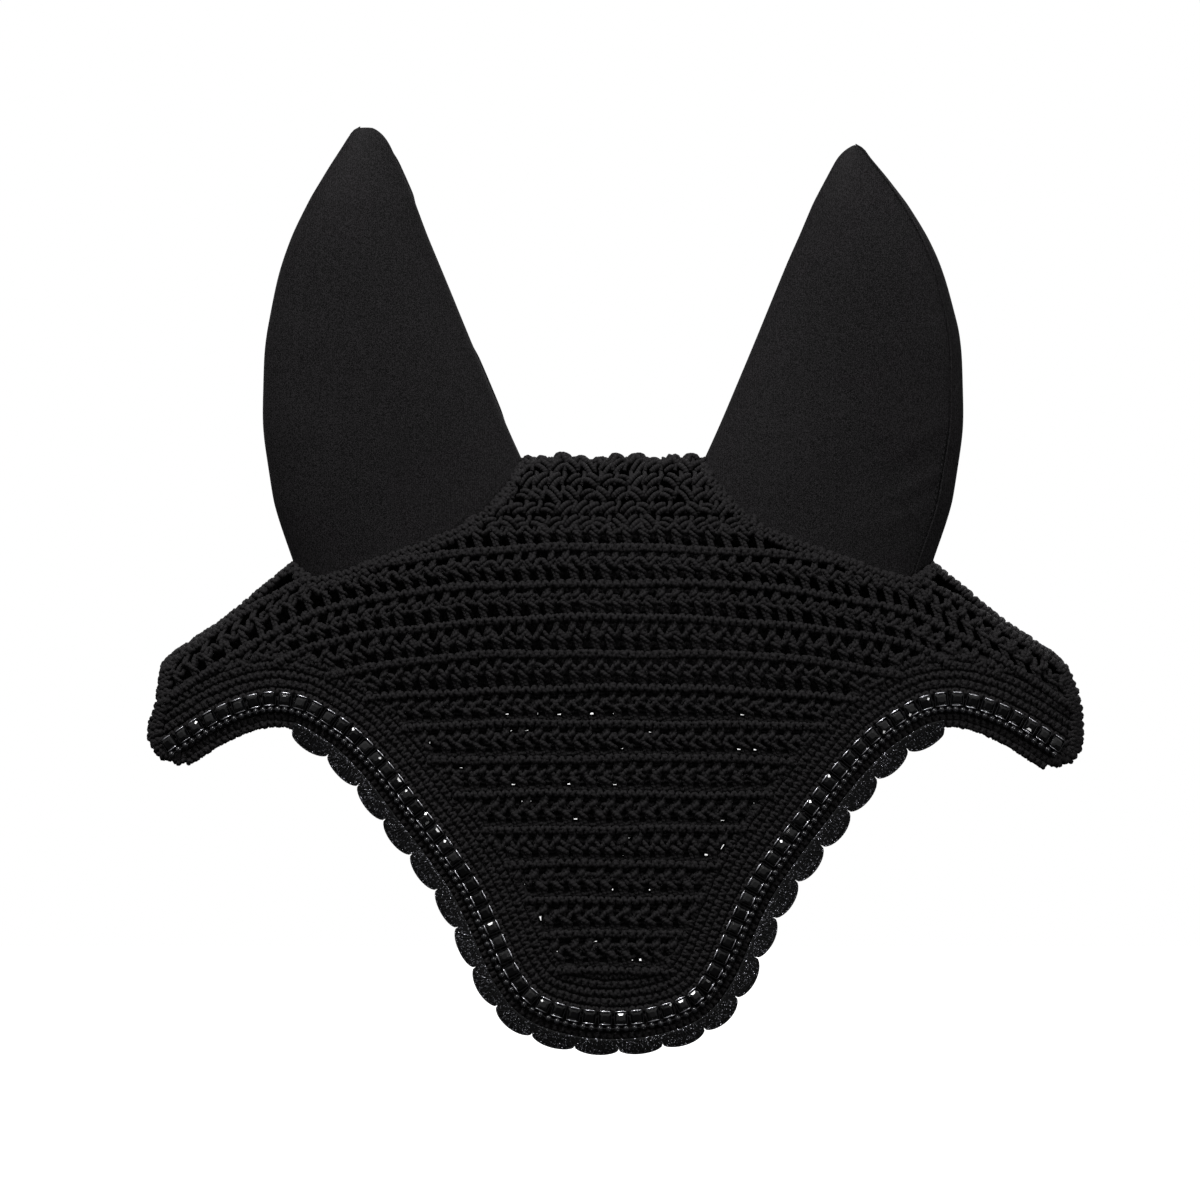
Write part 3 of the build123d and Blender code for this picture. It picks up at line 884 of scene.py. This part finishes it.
# ---- Ears ---------------------------------------------------------------------------------------
def ear_grid(side, start, end, columns, rows, narrow, tuck=2.5):
    """Places over part of an ear, from its base to its tip; angles run from the outer edge."""
    angles = np.linspace(start, end, columns)
    levels = np.linspace(-64, EAR_LEVELS[0][0], 900)
    inner, outer, depth = ear_at(levels)
    outer = outer + 1.5 * np.interp(levels, [-47, -20, 120, 150], [0, 1, 1, 0.3])
    outer = outer - narrow * np.interp(levels, [60, 105, 150], [0, 0.6, 1])
    drop = 1.6 * narrow * np.interp(levels, [90, 150], [0, 1]) ** 1.4
    grid = np.empty((rows, columns, 3))
    for column, angle in enumerate(angles):
        x = (inner + outer) / 2 + (outer - inner) / 2 * math.cos(angle)
        base = np.interp(x, base_line[:, 0], base_line[:, 1])
        first = np.flatnonzero(levels > base - tuck)[0]
        t = np.linspace(0, 1, rows)
        z = levels[first] + (levels[-1] - levels[first]) * t
        place_x = np.interp(z, levels, x)
        y = np.interp(z, levels, -math.sin(angle) * depth * EAR_HALF_DEPTH)
        rim = on_hood(place_x, z, -1.8, True)[0][:, 1]
        flare = np.clip(rim - y, 0, 8.5) * np.clip(1 - (z - z[0]) / 18, 0, 1) ** 2
        y = y + flare * min(max(-math.sin(angle), 0) * 4, 1)
        grid[:, column] = np.stack([side * place_x, y,
                                    z + CROWN_TOP - np.interp(z, levels, drop)], axis=1)
    return grid


def soften(grid, side, creases, seed):
    """Gives a cloth panel slight waves and the creases of its handling."""
    random = np.random.default_rng(seed)
    x, z = grid[..., 0], grid[..., 2]
    fade = np.clip((z + 40) / 30, 0, 1) * np.clip((155 - z) / 40, 0, 1)
    push = np.zeros_like(x)
    waves, height = 7, 0.22
    for _ in range(waves):
        across, up = random.uniform(-0.06, 0.06), random.uniform(-0.05, 0.05)
        push += height * np.sin(across * x + up * z + random.uniform(0, 6))
    width = 3.2
    for middle_x, middle_z, lean, length, height in creases:
        dx, dz = x - side * middle_x, z - middle_z
        along = dx * math.cos(lean) + dz * math.sin(lean)
        across = -dx * math.sin(lean) + dz * math.cos(lean)
        push += height * np.exp(-(across / width) ** 2 - (along / length) ** 2)
    grid[..., 1] -= push * fade * np.sign(-grid[..., 1] + 1e-6)
    return grid


class BONNET_OT_ears(bpy.types.Operator):
    """Sews the two fabric ears, front and back panels with a stitched outer seam"""
    bl_idname = "bonnet.ears"
    bl_label = "Ears"

    def execute(self, context):
        cloth, = in_mm("ear_cloth")
        columns, rows = 40, 70
        seam_angles = {"left": -0.45, "right": 0.47}
        narrower = {"left": 0.0, "right": 5.0}
        creases = {"left": [(120, 20, 1.2, 30, 0.3)],
                   "right": [(138, -10, 0.5, 16, 0.9), (132, -24, 0.35, 20, 0.8),
                             (140, 12, 0.6, 14, 0.6), (118, -30, 0.2, 22, 0.5),
                             (146, -30, 1.2, 12, 0.7)]}
        for name, side in SIDES.items():
            seam, narrow = seam_angles[name], narrower[name]
            front = ear_grid(side, seam, math.pi, columns, rows, narrow)
            front = soften(front, side, creases[name], 11)
            back = ear_grid(side, math.pi, 2 * math.pi + seam, columns, rows, narrow)
            back = soften(back, side, [], 12)
            if side > 0:
                front, back = front[:, ::-1], back[:, ::-1]
            for part, grid in (("front", front), ("back", back)):
                piece = sheet_piece(f"{name}_ear_{part}_panel", grid, "stretch_knit", None,
                                    cloth, 1)
                self.bend(piece, name, side)
                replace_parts(piece, f"{name}_ear_{part}")
            seam_line = ear_grid(side, seam, seam + 0.01, 2, 120, narrow)[:, 0]
            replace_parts(self.sew(name, side, seam_line), f"{name}_ear_seam")
        return {"FINISHED"}

    def cut(self, grid):
        """Flat size and area of a panel's cut, in metres."""
        a, b = np.diff(grid, axis=0)[:, :-1], np.diff(grid, axis=1)[:-1]
        area = np.linalg.norm(np.cross(a, b), axis=2).sum() * MM ** 2
        width = np.linalg.norm(np.diff(grid, axis=1), axis=2).sum(1).max() * MM
        length = np.linalg.norm(np.diff(grid, axis=0), axis=2).sum(0).max() * MM
        return (round(width, 4), round(length, 4)), round(area, 6)

    def bend(self, piece, name, side):
        """Bakes the piece's placement into its mesh."""
        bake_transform(piece)

    def sew(self, name, side, line):
        """Ridge of the outer seam with its row of stitches."""
        ridge, thread, spacing, stitch, inset = 0.55, 0.28, 3.2, 1.1, 1.6
        strands = Strands(6)
        out = np.zeros_like(line)
        out[:, 0], out[:, 1] = side * 0.6, np.sign(line[:, 1]) * 0.8
        strands.add(line + out * 0.1, out, ridge)
        facing = np.sign(line[:, 1].mean())
        count = int(np.linalg.norm(np.diff(line, axis=0), axis=1).sum() / spacing)
        picks = np.linspace(2, len(line) - 4, count)[:, None]
        t = np.linspace(0, 1, 5)
        index = np.arange(len(line))
        places = np.stack([np.interp(picks + t * stitch, index, axis) for axis in line.T], axis=2)
        places[..., 0] -= side * inset
        places[..., 1] += (0.35 * np.sin(math.pi * t) + 0.5) * facing
        strands.add(places, np.broadcast_to((0, facing, 0.0), places.shape), thread)
        piece = strands.piece(f"{name}_ear_outer_seam", "stretch_knit", None, "ear_fabric")
        self.bend(piece, name, side)
        return piece


# ---- Trim ---------------------------------------------------------------------------------------
class BONNET_OT_stones(bpy.types.Operator):
    """Finishes the stone chain and the beads, and threads the beads"""
    bl_idname = "bonnet.stones"
    bl_label = "Stones and beads"

    def execute(self, context):
        for node, finish in (("stone_cups", "dark_metal"), ("beads", "gloss_bead")):
            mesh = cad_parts[node].data
            mesh.materials.clear()
            mesh.materials.append(material(finish))
        self.cut_stones()
        thread = Strands(5)
        thread.lay(*beside_chain(BEAD_LINE, 2.0, 0).T, 1.85, 0.3)
        thread.piece("bead_thread")
        return {"FINISHED"}

    def cut_stones(self):
        """Square stones with a small table and two steps of facets, each set a little askew."""
        step, sides, rim = 0.1, 8, 0.36
        random = np.random.default_rng(5)
        line = beside_chain(0, step, 0)
        count = int(len(line) * step / CUP_PITCH)
        along = unit(np.gradient(line, axis=0))
        rings = ((2.72, 0.45, 0.0), (2.72, 0.45, 1.05), (2.05, 0.75, 2.0), (1.2, 0.5, 2.45))
        verts, faces = [], []
        rims, t = Strands(5), np.linspace(-1, 1, 4)[:, None]
        for number in range(count):
            at = int((number + 0.5) / count * (len(line) - 1))
            place, out = on_hood(line[at, :1], line[at, 1:], np.array([0.95]))
            out = Vector(out[0])
            across = Vector((0, 0, 1)).cross(out).normalized()
            x_dir = across * along[at, 0] + Vector((0, 0, 1)) * along[at, 1]
            x_dir = (x_dir - out * x_dir.dot(out)).normalized()
            y_dir = out.cross(x_dir)
            tilt = random.uniform(-0.28, 0.28, 2)
            first = len(verts)
            # Two light-metal bars along each cup's upper and lower edge: painted highlight lines
            # on the rims.
            for edge in (-2.95, 2.95):
                bar = place[0] + np.array(y_dir) * edge + np.array(x_dir) * t * 2.6
                bar = bar + np.array(out) * (1.0 + 0.1 * (1 - t ** 2))
                rims.add(bar, np.broadcast_to(out, bar.shape), rim)
            for half, corner, height in rings:
                for sx, sy in ((1, 1), (-1, 1), (-1, -1), (1, -1)):
                    pair = [(half, half - corner), (half - corner, half)]
                    for px, py in (pair if sx * sy > 0 else pair[::-1]):
                        askew = tilt[0] * sx * px + tilt[1] * sy * py if height > 1 else 0
                        point = (Vector(place[0]) + x_dir * sx * px + y_dir * sy * py
                                 + out * (height + askew))
                        verts.append(point * MM)
            top = first + (len(rings) - 1) * sides
            for ring in range(first, top, sides):
                for side in range(sides):
                    a, b = ring + side, ring + (side + 1) % sides
                    faces.append((a, b, b + sides, a + sides))
            faces.append(range(top, top + sides))
            faces.append(range(first + sides - 1, first - 1, -1))
        rims.piece("cup_rim_highlights", "bright_metal", slot="cup_metal")
        mesh = bpy.data.meshes.new("cut_stones")
        mesh.from_pydata(verts, [], faces)
        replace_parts(finish_piece("cut_stones", mesh, "jet_stone", "root"), "stones")


class BONNET_OT_lace(bpy.types.Operator):
    """Makes the scalloped glitter lace behind the rolled edge"""
    bl_idname = "bonnet.lace"
    bl_label = "Scallop lace"

    def execute(self, context):
        pitch, = in_mm("lace_pitch")
        step, left_end, right_end = 0.5, -147, 152
        cords = Strands(5)
        line = beside_chain(EDGE_END, step, 0)
        first, last = (np.flatnonzero(line[:, 0] > end)[0] for end in (left_end, right_end))
        line = line[first:last]
        count = round(len(line) * step / pitch)
        along = unit(np.gradient(line, axis=0))
        out = along[:, ::-1] * (1, -1)
        index = np.arange(len(line))

        def place(s, offset, lift):
            """Place on the lace: s runs along the edge in scallops, offset is outwards."""
            at = s / count * (len(line) - 1)
            x = np.interp(at, index, line[:, 0]) + np.interp(at, index, out[:, 0]) * offset
            z = np.interp(at, index, line[:, 1]) + np.interp(at, index, out[:, 1]) * offset
            return on_hood(x, z, lift)

        def rise(s):
            """How far the scalloped hem stands out at s."""
            across = np.interp(s / count * (len(line) - 1), index, line[:, 0])
            depth = np.interp(across, [-75, -15, 15, 75], [4.6, 3.0, 3.0, 5.6])
            return 0.6 + depth * np.sqrt(np.clip(1 - (2 * (s % 1) - 1) ** 2, 0, 1))

        def lie(offset):
            """The lace starts on top of the rolled edge and falls behind it."""
            return 1.0 - 0.36 * (offset + 3.2)

        s = np.linspace(0, count, count * 24 + 1)
        twist = s * 2 * math.pi * 12
        for share, radius in ((1.0, 0.62), (0.86, 0.34), (0.7, 0.3), (0.52, 0.3), (0.34, 0.3)):
            offset = rise(s) * share + 0.1 * np.sin(twist) - 3 * (1 - share)
            cords.add(*place(s, offset, lie(offset) + 0.25 * np.cos(twist)), radius)
        t = np.linspace(0, 1, 6)
        ribs = (np.arange(count)[:, None] + np.linspace(0.08, 0.92, 9)).ravel()
        middle = np.floor(ribs) + 0.5
        rib_s = middle[:, None] + (ribs - middle)[:, None] * (0.35 + 0.65 * t)
        offset = -3.2 + (rise(ribs)[:, None] + 3.2) * t
        cords.add(*place(rib_s, offset, lie(offset) + 0.25), 0.36)
        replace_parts(cords.piece("scallop_lace_cords", "glitter_cord", slot="lace"),
                    "scallop_lace")
        s = np.linspace(0, count, count * 16 + 1)
        t = np.linspace(0, 1, 8)[:, None]
        offset = -3.4 + (rise(s) + 3.2) * t
        grid = place(s, offset, lie(offset) - 0.1)[0]
        sheet_piece("scallop_lace_ground", grid, "glitter_cord", "root", 0.5)
        return {"FINISHED"}


# ---- Stage --------------------------------------------------------------------------------------
class BONNET_OT_stage(bpy.types.Operator):
    """Sets up the floor, the soft studio light and the camera"""
    bl_idname = "bonnet.stage"
    bl_label = "Stage"

    def execute(self, context):
        scene = context.scene
        scene.view_settings.view_transform = "Standard"
        world = bpy.data.worlds.new("studio")
        scene.world = world
        world.use_nodes = True
        self.sky(world.node_tree)
        low, half = CAD_BOUNDS[0][2] - 0.1, 6
        corners = [(-half, -half, low), (half, -half, low), (half, half, low), (-half, half, low)]
        mesh = bpy.data.meshes.new("floor")
        mesh.from_pydata(corners, [], [(0, 1, 2, 3)])
        floor = bpy.data.objects.new("floor", mesh)
        scene.collection.objects.link(floor)
        shader = Shader("pale_floor", Roughness=0.9, Emission_Color=(1, 1, 1, 1),
                        Emission_Strength=0.85)
        grain = shader.noise(3.0, 2.0)
        shader.feed("Base Color", shader.mix(grain, (0.93, 0.93, 0.93, 1), (0.97, 0.97, 0.97, 1)))
        mesh.materials.append(shader.material)
        floor.visible_diffuse = floor.visible_glossy = False
        middle = Vector((-0.006, 0, -0.0617))
        for name, (place, size, power) in LAMPS.items():
            self.light(name, place, middle, size, power)
        camera = bpy.data.objects.new("camera", bpy.data.cameras.new("camera"))
        scene.collection.objects.link(camera)
        width_in_view = 0.552
        camera.data.lens, camera.data.sensor_width, camera.data.clip_end = 420, 36, 50
        distance = width_in_view * camera.data.lens / camera.data.sensor_width
        camera.location = middle + Vector((0, -distance, 0))
        camera.rotation_euler = (math.pi / 2, 0, 0)
        scene.camera = camera
        return {"FINISHED"}

    def sky(self, tree):
        """White to look at, but a dimmer sky, brighter overhead, to light by."""
        background = tree.nodes["Background"]
        white, place, split, ramp, path, mixed = (
            tree.nodes.new(f"ShaderNode{kind}") for kind in (
                "Background", "TexCoord", "SeparateXYZ", "MapRange", "LightPath", "MixShader"))
        for node in (background, white):
            node.inputs["Color"].default_value = (1, 1, 1, 1)
        for name, value in {"From Min": -0.3, "From Max": 0.9, "To Min": 0.05,
                            "To Max": 0.6}.items():
            ramp.inputs[name].default_value = value
        for start, end in (
                (place.outputs["Generated"], split.inputs[0]),
                (split.outputs["Z"], ramp.inputs["Value"]),
                (ramp.outputs[0], background.inputs["Strength"]),
                (path.outputs["Is Camera Ray"], mixed.inputs["Fac"]),
                (background.outputs[0], mixed.inputs[1]),
                (white.outputs[0], mixed.inputs[2]),
                (mixed.outputs[0], tree.nodes["World Output"].inputs["Surface"])):
            tree.links.new(start, end)

    def light(self, name, place, target, size, power):
        """Soft square light aimed at the bonnet."""
        lamp = bpy.data.lights.new(name, "AREA")
        lamp.size, lamp.energy = size, power
        light = bpy.data.objects.new(name, lamp)
        bpy.context.scene.collection.objects.link(light)
        light.location = place
        light.rotation_euler = (target - Vector(place)).to_track_quat("-Z", "Y").to_euler()


class BONNET_PT_panel(bpy.types.Panel):
    """Lists the bonnet's pieces and settings"""
    bl_label = "Ear bonnet"
    bl_idname = "BONNET_PT_panel"
    bl_space_type = "VIEW_3D"
    bl_region_type = "UI"
    bl_category = "Bonnet"

    def draw(self, context):
        for group in (context.scene.bonnet_sizes, context.scene.bonnet_colours):
            for name in group.__annotations__:
                self.layout.prop(group, name)
        for operator in OPERATORS:
            self.layout.operator(operator.bl_idname)


OPERATORS = (BONNET_OT_brow_net, BONNET_OT_crown, BONNET_OT_borders, BONNET_OT_poll_panel,
             BONNET_OT_ears, BONNET_OT_stones, BONNET_OT_lace, BONNET_OT_stage)
CLASSES = (BonnetSizes, BonnetColours, *OPERATORS, BONNET_PT_panel)


def register():
    for cls in CLASSES:
        bpy.utils.register_class(cls)
    bpy.types.Scene.bonnet_sizes = bpy.props.PointerProperty(type=BonnetSizes)
    bpy.types.Scene.bonnet_colours = bpy.props.PointerProperty(type=BonnetColours)


def unregister():
    del bpy.types.Scene.bonnet_colours
    del bpy.types.Scene.bonnet_sizes
    for cls in reversed(CLASSES):
        bpy.utils.unregister_class(cls)


def main():
    register()
    bpy.ops.bonnet.brow_net()
    bpy.ops.bonnet.crown()
    bpy.ops.bonnet.borders()
    bpy.ops.bonnet.poll_panel()
    bpy.ops.bonnet.ears()
    bpy.ops.bonnet.stones()
    bpy.ops.bonnet.lace()
    bpy.ops.bonnet.stage()


if __name__ == "__main__":
    main()
